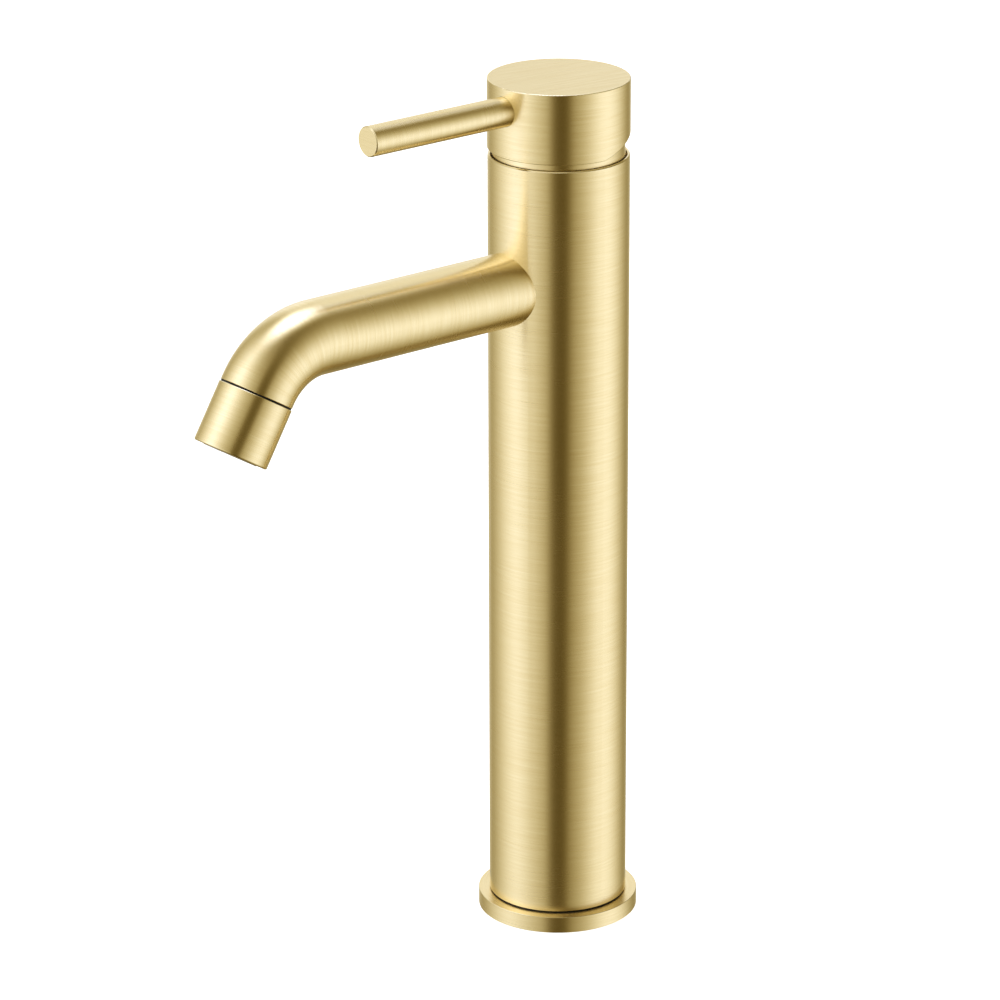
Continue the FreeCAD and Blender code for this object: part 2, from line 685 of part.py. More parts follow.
def rotor():
    """The swivel guide: it turns in the neck, carries the pivot pin and drives the slide."""
    body = cylinder(ROTOR_RADIUS, ROTOR_BOTTOM_Z, ROTOR_TOP_Z)
    body = body.fuse(cylinder(COLLAR_RADIUS, ROTOR_BOTTOM_Z, COLLAR_TOP_Z))
    lug_radius = CHAMBER_RADIUS - RIM_PLAY
    body = body.fuse(sector(lug_radius, LUG_HALF_ANGLE, ROTOR_BOTTOM_Z, COLLAR_TOP_Z))
    tongue_low = CARRIER_Z + TONGUE_LIFT
    for side in (-1, 1):
        middle = side * (GUIDE_X + GUIDE_PLAY + TONGUE_THICKNESS / 2)
        tongue = box(TONGUE_THICKNESS, TONGUE_LENGTH, tongue_low, COLLAR_TOP_Z, middle)
        body = body.fuse(tongue)
    slot_width = SPINDLE_WIDTH + 2 * FIT
    body = body.cut(box(slot_width, UPPER_SLOT_LENGTH, SLOT_STEP_Z, NECK_TOP_Z))
    body = body.cut(box(slot_width, LOWER_SLOT_LENGTH, 0, NECK_TOP_Z))
    body = body.cut(cross_rod(PIVOT_PIN_RADIUS + ROTOR_PIN_FIT, CARTRIDGE_RADIUS, PIVOT_Z))
    return body.removeSplitter()


def pivot_pin():
    """The pin through the rotor, on which the spindle tilts."""
    return cross_rod(PIVOT_PIN_RADIUS, ROTOR_RADIUS - PIN_INSET, PIVOT_Z)


def spindle():
    """The metal lever inside the cartridge: square shank, eye on the pin, arm and ball."""
    shank = box(SPINDLE_WIDTH, SPINDLE_WIDTH, PIVOT_Z, PIVOT_Z + SPINDLE_TOP)
    eye = cross_rod(EYE_RADIUS, SPINDLE_WIDTH / 2, PIVOT_Z)
    arm = cylinder(ARM_RADIUS, PIVOT_Z - BALL_ARM, PIVOT_Z)
    ball = Part.makeSphere(BALL_RADIUS, Vector(0, 0, PIVOT_Z - BALL_ARM))
    lever = shank.fuse([eye, arm, ball])
    lever = lever.cut(cross_rod(PIVOT_PIN_RADIUS + PIN_PLAY, CARTRIDGE_RADIUS, PIVOT_Z))
    return on_spindle(lever.removeSplitter())


def retaining_nut():
    """The round nut that holds the cartridge down, with four spanner notches."""
    nut = cylinder(NUT_THREAD_RADIUS - FIT, SHOULDER_Z, VALVE_TOP_Z + THROUGH)
    nut = nut.fuse(cylinder(NUT_HEAD_RADIUS, VALVE_TOP_Z + RIM_PLAY, NUT_TOP_Z))
    nut = nut.cut(cylinder(NECK_RADIUS + RIM_PLAY, 0, NUT_TOP_Z + THROUGH))
    for angle in (0, 90):
        notch = box(3 * NUT_HEAD_RADIUS, NOTCH_WIDTH, NUT_TOP_Z - NOTCH_DEPTH, NUT_TOP_Z + THROUGH)
        notch.rotate(Vector(0, 0, 0), Vector(0, 0, 1), angle)
        nut = nut.cut(notch)
    return nut.removeSplitter()


def trim_dome():
    """The ball-shaped cover that screws onto the nut and fills the gap under the cap."""
    centre = Vector(0, 0, PIVOT_Z)
    low = VALVE_TOP_Z + RIM_PLAY
    wide = 2 * DOME_RADIUS
    thread_top = NUT_TOP_Z + DOME_LIFT
    outside = Part.makeSphere(DOME_RADIUS, centre).common(cylinder(wide, PIVOT_Z, DOME_TOP_Z))
    outside = outside.fuse(cylinder(DOME_RADIUS, low, PIVOT_Z))
    inside = Part.makeSphere(DOME_RADIUS - DOME_SKIN, centre)
    inside = inside.common(cylinder(wide, thread_top, DOME_TOP_Z - DOME_SKIN))
    inside = inside.fuse(cylinder(NUT_HEAD_RADIUS + FIT, low - THROUGH, thread_top))
    dome = outside.cut(inside).cut(cylinder(DOME_BORE, low, DOME_TOP_Z + THROUGH))
    return dome.removeSplitter()


# ---- Handle ----

HUB_RADIUS = 8.5
HUB_START = 6.0
HUB_END = 25.5
CAP_TOP_THICKNESS = 3.0
UPPER_CAVITY_RADIUS = 22.2
UPPER_CAVITY_Z = 304.5
LEVER_BOSS_RADIUS = 7.6
GRUB_TIP = 7.85
GRUB_END = 13.8
GRUB_DOG_RADIUS = 1.4
GRUB_DOG_LENGTH = 1.2
HEX_KEY_RADIUS = 1.7
HEX_KEY_DEPTH = 2.5
STUD_NEAR = 14.4
STUD_BORE_START = 4.0
SQUARE_END_PLAY = 0.4
STUD_FAR = 31.5


def handle_cap():
    """The hollow cap: bevelled below at the back, with a hub for the spindle."""
    top_z = OVERALL_HEIGHT
    cavity_top = top_z - CAP_TOP_THICKNESS
    cap = cylinder(CAP_RADIUS, CAP_BOTTOM_Z, top_z)
    rise = math.tan(math.radians(CAP_BEVEL)) * CAP_RADIUS * 2
    half = CAP_RADIUS + THROUGH
    wedge = Part.Face(Part.makePolygon([
        Vector(-half, 0, CAP_BOTTOM_Z),
        Vector(-half, 2 * CAP_RADIUS, CAP_BOTTOM_Z + rise),
        Vector(-half, 2 * CAP_RADIUS, CAP_BOTTOM_Z - THROUGH),
        Vector(-half, 0, CAP_BOTTOM_Z - THROUGH),
        Vector(-half, 0, CAP_BOTTOM_Z),
    ])).extrude(Vector(2 * half, 0, 0))
    cap = cap.cut(wedge)
    curved_edges = [edge for edge in cap.Edges if not isinstance(edge.Curve, Part.Line)]
    cap = cap.makeFillet(EDGE_BREAK, curved_edges)
    cavity = turned([
        (0, PIVOT_Z),
        (CAP_RADIUS - CAP_WALL, PIVOT_Z),
        (CAP_RADIUS - CAP_WALL, UPPER_CAVITY_Z),
        (UPPER_CAVITY_RADIUS, UPPER_CAVITY_Z + CAP_RADIUS - CAP_WALL - UPPER_CAVITY_RADIUS),
        (UPPER_CAVITY_RADIUS, cavity_top),
        (0, cavity_top),
    ])
    cap = cap.cut(cavity)
    hub = on_spindle(cylinder(HUB_RADIUS, PIVOT_Z + HUB_START, PIVOT_Z + HUB_END))
    boss = front_rod(LEVER_BOSS_RADIUS, STUD_BORE_START, UPPER_CAVITY_RADIUS + THROUGH, LEVER_Z)
    cap = cap.fuse([hub, boss])
    square = SPINDLE_WIDTH + 2 * FIT
    cap = cap.cut(on_spindle(box(square, square, PIVOT_Z, PIVOT_Z + SPINDLE_TOP + SQUARE_END_PLAY)))
    cap = cap.cut(front_rod(STUD_RADIUS, STUD_BORE_START, CAP_RADIUS + THROUGH, LEVER_Z))
    socket = front_rod(LEVER_RADIUS + FIT, CAP_RADIUS - LEVER_SOCKET, CAP_RADIUS + THROUGH, LEVER_Z)
    return cap.cut(socket).removeSplitter()


def lever():
    """The round pin that the hand moves, with a threaded hole in its root."""
    root = CAP_RADIUS - LEVER_SOCKET
    pin = front_rod(LEVER_RADIUS, root, LEVER_REACH, LEVER_Z)
    end_edges = [edge for edge in pin.Edges if edge.BoundBox.YMax < -LEVER_REACH + TOUCHING]
    pin = pin.makeChamfer(EDGE_BREAK, end_edges)
    return pin.cut(front_rod(STUD_RADIUS, root - THROUGH, STUD_FAR + THREAD_RUNOUT, LEVER_Z))


def lever_stud():
    """The headless screw that joins the lever to the cap."""
    return front_rod(STUD_RADIUS - THREAD_PLAY, STUD_NEAR, STUD_FAR, LEVER_Z)


def grub_screw():
    """The screw behind the stud that clamps the cap onto the spindle."""
    thread_start = GRUB_TIP + GRUB_DOG_LENGTH
    screw = front_rod(STUD_RADIUS - THREAD_PLAY, thread_start, GRUB_END, LEVER_Z)
    screw = screw.fuse(front_rod(GRUB_DOG_RADIUS, GRUB_TIP, GRUB_END, LEVER_Z))
    corners = []
    for index in range(7):
        angle = math.radians(60 * index)
        x = HEX_KEY_RADIUS * math.cos(angle)
        z = LEVER_Z + HEX_KEY_RADIUS * math.sin(angle)
        corners.append(Vector(x, -GRUB_END, z))
    hexagon = Part.Face(Part.makePolygon(corners))
    return screw.cut(hexagon.extrude(Vector(0, HEX_KEY_DEPTH, 0)))


def save(name, shape):
    """Writes one piece, and says what it is if it isn't a sound solid."""
    sound = shape.isValid() and len(shape.Solids) > 0
    state = "ok" if sound else "NOT SOUND"
    print(f"{name}: {len(shape.Solids)} solid, {shape.Volume:.0f} mm3, {state}")
    shape.exportStep(f"parts/{name}.step")


os.makedirs("parts", exist_ok=True)

pieces = {
    "base_flange": base_flange(),
    "base_gasket": base_gasket(),
    "foot_washer": foot_washer(),
    "base_block": base_block(),
    "column": column(),
    "hot_inlet_tube": inlet_tube(-1),
    "cold_inlet_tube": inlet_tube(1),
    "hot_tube_seal": tube_seal(-1),
    "cold_tube_seal": tube_seal(1),
    "chamber_plug": chamber_plug(),
    "plug_seal": plug_seal(),
    "valve_body": valve_body(),
    "body_seal": body_seal(),
    "spout_tube": spout_tube(),
    "nozzle": nozzle(),
    "joint_ring": joint_ring(),
    "aerator_washer": aerator_washer(),
    "aerator_housing": aerator_housing(),
    "flow_restrictor": flow_restrictor(),
    "aerator_screens": aerator_screens(),
    "outlet_grid": outlet_grid(),
    "cartridge_base": cartridge_base(),
    "cartridge_seal": cartridge_seal(),
    "hot_port_seal": port_seal(-1),
    "cold_port_seal": port_seal(1),
    "disc_gasket": disc_gasket(),
    "fixed_disc": fixed_disc(),
    "moving_disc": moving_disc(),
    "disc_carrier": disc_carrier(),
    "cartridge_housing": cartridge_housing(),
    "rotor": rotor(),
    "pivot_pin": pivot_pin(),
    "spindle": spindle(),
    "retaining_nut": retaining_nut(),
    "trim_dome": trim_dome(),
    "handle_cap": handle_cap(),
    "lever": lever(),
    "lever_stud": lever_stud(),
    "grub_screw": grub_screw(),
}
for piece_name, piece_shape in pieces.items():
    save(piece_name, piece_shape)
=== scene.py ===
import math

import bpy
from mathutils import Matrix, Vector

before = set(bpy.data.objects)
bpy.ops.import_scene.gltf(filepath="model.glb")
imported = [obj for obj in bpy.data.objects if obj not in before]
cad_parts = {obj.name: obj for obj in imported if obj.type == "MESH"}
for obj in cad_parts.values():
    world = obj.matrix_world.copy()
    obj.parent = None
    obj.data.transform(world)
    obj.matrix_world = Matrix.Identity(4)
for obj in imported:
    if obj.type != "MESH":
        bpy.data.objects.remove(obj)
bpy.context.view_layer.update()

WHITE = (1.0, 1.0, 1.0, 1.0)

# ---------------------------------------------------------------- camera

CAMERA_PLACE = (1.2772, -1.0717, 0.7618)
CAMERA_HEADING = 50.721       # degrees anticlockwise from +Y
CAMERA_PITCH = 19.906         # degrees downwards
CAMERA_ROLL = -0.153          # degrees
CAMERA_LENS = 176.92          # mm
SENSOR_WIDTH = 36.0           # mm
NEAREST_SEEN = 0.05           # m
FARTHEST_SEEN = 60.0          # m


def make_camera():
    """A long lens beside the spout, looking down at the mixer."""
    heading = math.radians(CAMERA_HEADING)
    pitch = math.radians(CAMERA_PITCH)
    roll = math.radians(CAMERA_ROLL)
    forward = Vector((
        -math.sin(heading) * math.cos(pitch),
        math.cos(heading) * math.cos(pitch),
        -math.sin(pitch),
    ))
    level = Vector((math.cos(heading), math.sin(heading), 0.0))
    above = level.cross(forward)
    right = level * math.cos(roll) + above * math.sin(roll)
    up = above * math.cos(roll) - level * math.sin(roll)
    data = bpy.data.cameras.new("studio_camera")
    data.sensor_width = SENSOR_WIDTH
    data.lens = CAMERA_LENS
    data.clip_start = NEAREST_SEEN
    data.clip_end = FARTHEST_SEEN
    camera = bpy.data.objects.new("studio_camera", data)
    turn = Matrix((right, up, -forward)).transposed().to_4x4()
    camera.matrix_world = Matrix.Translation(Vector(CAMERA_PLACE)) @ turn
    bpy.context.scene.collection.objects.link(camera)
    bpy.context.scene.camera = camera


# ---------------------------------------------------------------- node helper

class Graph:
    """Short ways to add nodes to one node tree."""

    def __init__(self, tree):
        self.tree = tree
        self.tree.nodes.clear()

    def node(self, kind, **settings):
        made = self.tree.nodes.new(kind)
        for name, value in settings.items():
            setattr(made, name, value)
        return made

    def put(self, socket, value):
        if isinstance(value, bpy.types.NodeSocket):
            self.tree.links.new(value, socket)
        elif value is not None:
            socket.default_value = value

    def math(self, operation, a, b=None, c=None):
        made = self.node("ShaderNodeMath", operation=operation)
        for socket, value in zip(made.inputs, (a, b, c)):
            self.put(socket, value)
        return made.outputs[0]

    def vector(self, operation, a, b=None):
        made = self.node("ShaderNodeVectorMath", operation=operation)
        self.put(made.inputs[0], a)
        self.put(made.inputs[1], b)
        return made.outputs["Value" if operation == "DOT_PRODUCT" else "Vector"]

    def scaled(self, direction, amount):
        made = self.node("ShaderNodeVectorMath", operation="SCALE")
        self.put(made.inputs[0], direction)
        self.put(made.inputs["Scale"], amount)
        return made.outputs["Vector"]

    def turned(self, vector, kind, source, target):
        """A direction carried from one space to another."""
        made = self.node(
            "ShaderNodeVectorTransform", vector_type=kind, convert_from=source, convert_to=target
        )
        self.put(made.inputs[0], vector)
        return made.outputs[0]

    def split(self, vector):
        made = self.node("ShaderNodeSeparateXYZ")
        self.put(made.inputs[0], vector)
        return made.outputs[0], made.outputs[1], made.outputs[2]

    def join(self, x, y, z):
        made = self.node("ShaderNodeCombineXYZ")
        for socket, value in zip(made.inputs, (x, y, z)):
            self.put(socket, value)
        return made.outputs[0]

    def noise(self, vector, scale, detail=2.0, roughness=0.5):
        made = self.node("ShaderNodeTexNoise")
        self.put(made.inputs["Vector"], vector)
        self.put(made.inputs["Scale"], scale)
        self.put(made.inputs["Detail"], detail)
        self.put(made.inputs["Roughness"], roughness)
        return made.outputs["Fac"]

    def span(self, value, low, high, to_low=0.0, to_high=1.0):
        """The range low to high stretched to to_low to to_high, and held there beyond it."""
        made = self.node("ShaderNodeMapRange")
        for socket, number in zip(made.inputs, (value, low, high, to_low, to_high)):
            self.put(socket, number)
        return made.outputs[0]

    def blend(self, amount, a, b, kind="RGBA"):
        """Part of the way from a to b, which are two colours, numbers (FLOAT) or directions (VECTOR)."""
        made = self.node("ShaderNodeMix", data_type=kind)
        self.put(made.inputs["Factor"], amount)
        self.put(made.inputs["A"], a)
        self.put(made.inputs["B"], b)
        return made.outputs["Result"]

    def tint(self, amount, base, colour):
        """A base colour taken part of the way to a plain one."""
        return self.blend(amount, base, (*colour, 1.0))

    def bell(self, value, centre, width, power=2.0):
        """1 at the centre, falling smoothly to nothing a width or two away."""
        off = self.math("ABSOLUTE", self.math("SUBTRACT", value, centre))
        shape = self.math("POWER", self.math("DIVIDE", off, width), power)
        return self.math("EXPONENT", self.math("MULTIPLY", shape, -1.0))


# ---------------------------------------------------------------- studio light

STUDIO_FRONT = 51.6           # azimuth that the gap between the two side panels faces, degrees
FILL_LIGHT = 0.13
LIGHT_LEVEL = 1.02
GAP_DEPTH = 0.76              # how dark the gap is
GAP_WIDTH = 17.0              # half of its width, degrees
GAP_EDGE = 4.0                # a larger edge number is a crisper edge
GAP_RISE = -12.0
GAP_HEIGHT = 69.0
GAP_LEAN = 0.40               # degrees to the side for each degree upwards
GAP_LEAN_FROM = 20.0          # degrees below the horizon where the leaning gap faces the front
OVERHEAD_RISE = 78.5
OVERHEAD_WIDTH = 23.5
OVERHEAD_EDGE = 3.0
OVERHEAD_STRENGTH = 1.79
GREEN_FALL = 1.16             # dim parts of the studio are warmer than bright ones
BLUE_FALL = 1.75
DEGREES = 180.0 / math.pi     # in one radian
WRAP_ANGLE = 120.0            # a panel farther round than this also shows past 180 degrees

LEFT_PANEL = dict(
    angle=-75.0, rise=15.0, half_width=56.0, half_height=53.0, strength=1.13,
    width_edge=1.6, height_edge=4.0,
)
RIGHT_PANEL = dict(angle=82.0, rise=-13.0, half_width=46.5, half_height=43.5, strength=0.95)
BACK_PANEL = dict(angle=172.0, rise=16.0, half_width=17.2, half_height=46.0, strength=0.82)


def make_studio():
    """A softbox at each side, one overhead and one behind, with a dark gap where the camera stands."""
    world = bpy.data.worlds.new("studio")
    bpy.context.scene.world = world
    world.use_nodes = True
    g = Graph(world.node_tree)
    direction = g.node("ShaderNodeTexCoord").outputs["Generated"]
    x, y, z = g.split(direction)
    front = math.radians(STUDIO_FRONT)
    along = g.math(
        "SUBTRACT", g.math("MULTIPLY", x, math.sin(front)), g.math("MULTIPLY", y, math.cos(front))
    )
    beside = g.math(
        "ADD", g.math("MULTIPLY", x, math.cos(front)), g.math("MULTIPLY", y, math.sin(front))
    )
    turn = g.math("MULTIPLY", g.math("ARCTAN2", beside, along), DEGREES)
    either = g.math("ABSOLUTE", turn)
    height = g.math("MULTIPLY", g.math("ARCSINE", z), DEGREES)

    def softbox(angle, rise, half_width, half_height, strength, width_edge=2.0, height_edge=2.0):
        """Light round one direction, in degrees from the front and above the horizon."""
        around = turn if abs(angle) < WRAP_ANGLE else either
        spot = g.math(
            "MULTIPLY",
            g.bell(around, angle, half_width, width_edge),
            g.bell(height, rise, half_height, height_edge),
        )
        return g.math("MULTIPLY", spot, strength)

    left_panel = softbox(**LEFT_PANEL)
    right_panel = softbox(**RIGHT_PANEL)
    behind = softbox(**BACK_PANEL)
    rise = math.radians(OVERHEAD_RISE)
    towards = g.math(
        "SUBTRACT", g.math("MULTIPLY", z, math.sin(rise)), g.math("MULTIPLY", along, math.cos(rise))
    )
    off = g.math("MULTIPLY", g.math("ARCCOSINE", g.math("MINIMUM", towards, 1.0)), DEGREES)
    overhead = g.math("MULTIPLY", g.bell(off, 0.0, OVERHEAD_WIDTH, OVERHEAD_EDGE), OVERHEAD_STRENGTH)
    light = g.math("ADD", left_panel, right_panel)
    light = g.math("ADD", light, g.math("ADD", overhead, behind))
    light = g.math("ADD", light, FILL_LIGHT)
    leaning = g.math("MULTIPLY_ADD", height, GAP_LEAN, GAP_LEAN_FROM * GAP_LEAN)
    gap = g.math(
        "MULTIPLY", g.bell(turn, leaning, GAP_WIDTH, GAP_EDGE), g.bell(height, GAP_RISE, GAP_HEIGHT)
    )
    light = g.math("MULTIPLY", light, g.math("SUBTRACT", 1.0, g.math("MULTIPLY", gap, GAP_DEPTH)))
    light = g.math("MULTIPLY", light, LIGHT_LEVEL)
    colour = g.join(light, g.math("POWER", light, GREEN_FALL), g.math("POWER", light, BLUE_FALL))
    studio = g.node("ShaderNodeBackground")
    g.put(studio.inputs["Color"], colour)
    backdrop = g.node("ShaderNodeBackground")
    backdrop.inputs["Color"].default_value = WHITE
    rays = g.node("ShaderNodeLightPath")
    mix = g.node("ShaderNodeMixShader")
    g.put(mix.inputs[0], rays.outputs["Is Camera Ray"])
    g.put(mix.inputs[1], studio.outputs[0])
    g.put(mix.inputs[2], backdrop.outputs[0])
    out = g.node("ShaderNodeOutputWorld")
    g.put(out.inputs["Surface"], mix.outputs[0])


FLOOR_SIZE = 8.0
FLOOR_GLOW = 0.90
FLOOR_ROUGHNESS = 0.9
FLOOR_CLOUD = 3.0             # noise scale of the faint clouds in the floor
FLOOR_TONES = (0.80, 0.84)    # darkest and lightest


def make_floor():
    """A plain white table top, lit evenly from within so that it stays pale."""
    half = FLOOR_SIZE / 2
    mesh = bpy.data.meshes.new("floor")
    corners = [(-half, -half, 0.0), (half, -half, 0.0), (half, half, 0.0), (-half, half, 0.0)]
    mesh.from_pydata(corners, [], [(0, 1, 2, 3)])
    floor = bpy.data.objects.new("floor", mesh)
    bpy.context.scene.collection.objects.link(floor)
    material, g = new_material("pale_floor")
    place = g.node("ShaderNodeTexCoord").outputs["Object"]
    tone = g.span(g.noise(place, FLOOR_CLOUD), *NOISE_MIDDLE, *FLOOR_TONES)
    shader = g.node("ShaderNodeBsdfPrincipled")
    g.put(shader.inputs["Base Color"], g.join(tone, tone, tone))
    shader.inputs["Roughness"].default_value = FLOOR_ROUGHNESS
    shader.inputs["Specular IOR Level"].default_value = 0.0
    shader.inputs["Emission Color"].default_value = WHITE
    shader.inputs["Emission Strength"].default_value = FLOOR_GLOW
    out = g.node("ShaderNodeOutputMaterial")
    g.put(out.inputs["Surface"], shader.outputs[0])
    mesh.materials.append(material)
    floor.visible_glossy = False
    floor.visible_diffuse = False
    floor.visible_shadow = False


# ---------------------------------------------------------------- axes of the pieces

SPOUT_BEND_Y = -0.1089        # where the spout starts to turn down
SPOUT_BEND_Z = 0.2141         # height of the centre of the bend
SPOUT_BEND_RADIUS = 0.0283
SPOUT_DROP = 59.0             # degrees below the horizon that the outlet points


class Axis:
    """A point's distance along a piece's axis, its place across it in two ways, and their directions."""

    def __init__(self, length, across, over, direction, sideways, crossways):
        self.length = length
        self.across = across
        self.over = over
        self.direction = direction
        self.sideways = sideways
        self.crossways = crossways


def along_z(g, place):
    x, y, z = g.split(place)
    return Axis(z, x, y, (0.0, 0.0, 1.0), (1.0, 0.0, 0.0), (0.0, 1.0, 0.0))


def along_y(g, place):
    x, y, z = g.split(place)
    return Axis(y, x, z, (0.0, 1.0, 0.0), (1.0, 0.0, 0.0), (0.0, 0.0, 1.0))


def along_outlet(g, place):
    """The sloping axis of the outlet."""
    drop = math.radians(SPOUT_DROP)
    flow = (0.0, -math.cos(drop), -math.sin(drop))
    cross = (0.0, -math.sin(drop), math.cos(drop))
    offset = g.vector("SUBTRACT", place, (0.0, SPOUT_BEND_Y, SPOUT_BEND_Z))
    length = g.vector("DOT_PRODUCT", offset, flow)
    over = g.math("SUBTRACT", g.vector("DOT_PRODUCT", offset, cross), SPOUT_BEND_RADIUS)
    return Axis(length, g.split(place)[0], over, flow, (1.0, 0.0, 0.0), cross)


def along_spout(g, place):
    """The spout's axis, which runs level and then turns down round the bend. It has no end faces."""
    x, y, z = g.split(place)
    forward = g.math("MAXIMUM", g.math("SUBTRACT", SPOUT_BEND_Y, y), 0.0)
    rise = g.math("SUBTRACT", z, SPOUT_BEND_Z)
    angle = g.math("ARCTAN2", forward, rise)
    angle = g.math("MINIMUM", angle, math.radians(SPOUT_DROP))
    straight = g.math("MULTIPLY", g.math("MAXIMUM", y, SPOUT_BEND_Y), -1.0)
    length = g.math("ADD", straight, g.math("MULTIPLY", angle, SPOUT_BEND_RADIUS))
    square = g.math("ADD", g.math("MULTIPLY", forward, forward), g.math("MULTIPLY", rise, rise))
    radius = g.math("SQRT", square)
    back = g.math("MULTIPLY", g.math("COSINE", angle), -1.0)
    down = g.math("MULTIPLY", g.math("SINE", angle), -1.0)
    direction = g.join(0.0, back, down)
    return Axis(length, x, radius, direction, None, None)


# ---------------------------------------------------------------- marks, wear with painted edge highlight, and painted seam shade with tarnish

NOISE_MIDDLE = (0.3, 0.7)     # nearly all of a noise texture lies between these

GRAIN_FINE = 0.00026          # width of the finest brush marks, m
GRAIN_COARSE = 0.0010         # width of the broader bands of marks, m
GRAIN_LENGTH = 0.022          # length of a brush mark, m
GRAIN_DETAIL = 2.0
GRAIN_BREAK_UP = 0.55
COARSE_SHIFT = 7.3            # keeps the broad bands from lining up with the fine marks

CREVICE_DEPTH = 0.0008        # how far the painted seam shade and tarnish reach out of a seam, m
CREVICE_SAMPLES = 6
CREVICE_OPENNESS = (0.38, 0.12)  # how open a place is where the painted shade and tarnish start and where they are full

EDGE_WIDTH = 0.0005           # how far from an edge the polish wear, and the painted highlight on brass, reaches, m
EDGE_SAMPLES = 4
EDGE_BEND = (0.995, 0.93)     # cosine of the surface's turn where wear starts and where it is full
WEAR_SCALE = 900.0
WEAR_DETAIL = 3.0
WEAR_BREAKS = (0.25, 0.6)
WEAR_LEAST = 0.45             # how much wear is left where its outline is broken


def brush_marks(g, length, across, over, seed):
    """Noise drawn out along the brushing: thin across it and long along it."""
    layers = []
    for width, offset in ((GRAIN_FINE, seed), (GRAIN_COARSE, seed + COARSE_SHIFT)):
        grain = g.join(
            g.math("MULTIPLY", across, 1.0 / GRAIN_LENGTH),
            g.math("MULTIPLY", over, 1.0 / GRAIN_LENGTH),
            g.math("MULTIPLY_ADD", length, 1.0 / width, offset),
        )
        layers.append(g.noise(grain, 1.0, GRAIN_DETAIL, GRAIN_BREAK_UP))
    return g.math("ADD", g.math("MULTIPLY", layers[0], 0.5), g.math("MULTIPLY", layers[1], 0.5))


def seam_shade_and_tarnish(g):
    """1 deep in a seam and 0 in the open, from ambient occlusion: where painted shade and tarnish go."""
    shade = g.node("ShaderNodeAmbientOcclusion", samples=CREVICE_SAMPLES)
    shade.inputs["Distance"].default_value = CREVICE_DEPTH
    return g.span(shade.outputs["AO"], *CREVICE_OPENNESS)


def edge_wear_and_highlight(g, place):
    """1 close to an edge, with a broken outline, and 0 elsewhere. It marks edge wear, and the edges that
    are painted paler as a highlight.
    """
    rounded = g.node("ShaderNodeBevel", samples=EDGE_SAMPLES)
    rounded.inputs["Radius"].default_value = EDGE_WIDTH
    normal = g.node("ShaderNodeNewGeometry").outputs["Normal"]
    bend = g.vector("DOT_PRODUCT", rounded.outputs[0], normal)
    wear_and_highlight = g.span(bend, *EDGE_BEND)
    worn = g.span(g.noise(place, WEAR_SCALE, WEAR_DETAIL), *WEAR_BREAKS, WEAR_LEAST, 1.0)
    return g.math("MULTIPLY", wear_and_highlight, worn)


def new_material(name):
    material = bpy.data.materials.new(name)
    material.use_nodes = True
    return material, Graph(material.node_tree)


def finish_material(g, shader, relief, strength, depth):
    """Adds the fine relief, whose depth is in metres, and the output."""
    bump = g.node("ShaderNodeBump")
    bump.inputs["Strength"].default_value = strength
    bump.inputs["Distance"].default_value = depth
    g.put(bump.inputs["Height"], relief)
    g.put(shader.inputs["Normal"], bump.outputs[0])
    out = g.node("ShaderNodeOutputMaterial")
    g.put(out.inputs["Surface"], shader.outputs[0])


# ---------------------------------------------------------------- brushed brass

BRASS = (1.0, 0.868, 0.543)
BRASS_SHADE = (0.944, 0.786, 0.442)
# paler brass painted along edges as a highlight, with their wear
BRASS_WORN_EDGE_HIGHLIGHT = (1.0, 0.94, 0.70)
# dark tarnish colour painted into seams as shade
BRASS_SEAM_SHADE_AND_TARNISH = (0.30, 0.18, 0.05)
BRASS_ROUGHNESS = 0.25
BRASS_ANISOTROPY = 0.70       # how far the brushing smears reflections
BRASS_RELIEF = 0.28
BRASS_RELIEF_DEPTH = 0.00002
MARKS_TONE = (0.32, 0.68)     # marks below the first are all shade, above the second all plain brass
MARKS_GLOSS = (0.25, 0.75)
MARKS_ROUGHNESS = 0.04        # how much rougher or smoother a mark is
PATCH_SCALE = 22.0            # noise scale of the broad uneven patches
PATCH_TONE = (0.35, 0.65)
PATCH_TINT = 0.15
PATCH_ROUGHNESS = 0.012
WEAR_AND_HIGHLIGHT_TINT = 0.6
WEAR_POLISH = 0.14            # how much smoother a worn edge is
SEAM_SHADE_AND_TARNISH_TINT = 0.3
END_FACE = (0.90, 0.97)       # cosine to the axis where a surface starts to be an end face and is one
CAP_BRUSHING = 84.0           # angle from +X of the straight marks on the cap's top, degrees


def ring_brushing(g, axis, end):
    """Where the marks lie on a piece whose end faces are brushed in rings."""
    square = g.math("MULTIPLY", axis.across, axis.across)
    square = g.math("MULTIPLY_ADD", axis.over, axis.over, square)
    length = g.blend(end, axis.length, g.math("SQRT", square), "FLOAT")
    out = g.vector("ADD", g.scaled(axis.sideways, axis.across), g.scaled(axis.crossways, axis.over))
    direction = g.blend(end, axis.direction, g.vector("NORMALIZE", out), "VECTOR")
    return (length, axis.across, axis.over), direction


def straight_brushing(g, axis, end, place, angle):
    """Where the marks lie on a piece whose end faces are brushed straight, at an angle from +X."""
    aim = math.radians(angle)
    stroke = (math.cos(aim), math.sin(aim), 0.0)
    beside = (-math.sin(aim), math.cos(aim), 0.0)
    marks_place = (
        g.blend(end, axis.length, g.vector("DOT_PRODUCT", place, beside), "FLOAT"),
        g.blend(end, axis.across, g.vector("DOT_PRODUCT", place, stroke), "FLOAT"),
        g.blend(end, axis.over, axis.length, "FLOAT"),
    )
    return marks_place, g.blend(end, axis.direction, beside, "VECTOR")


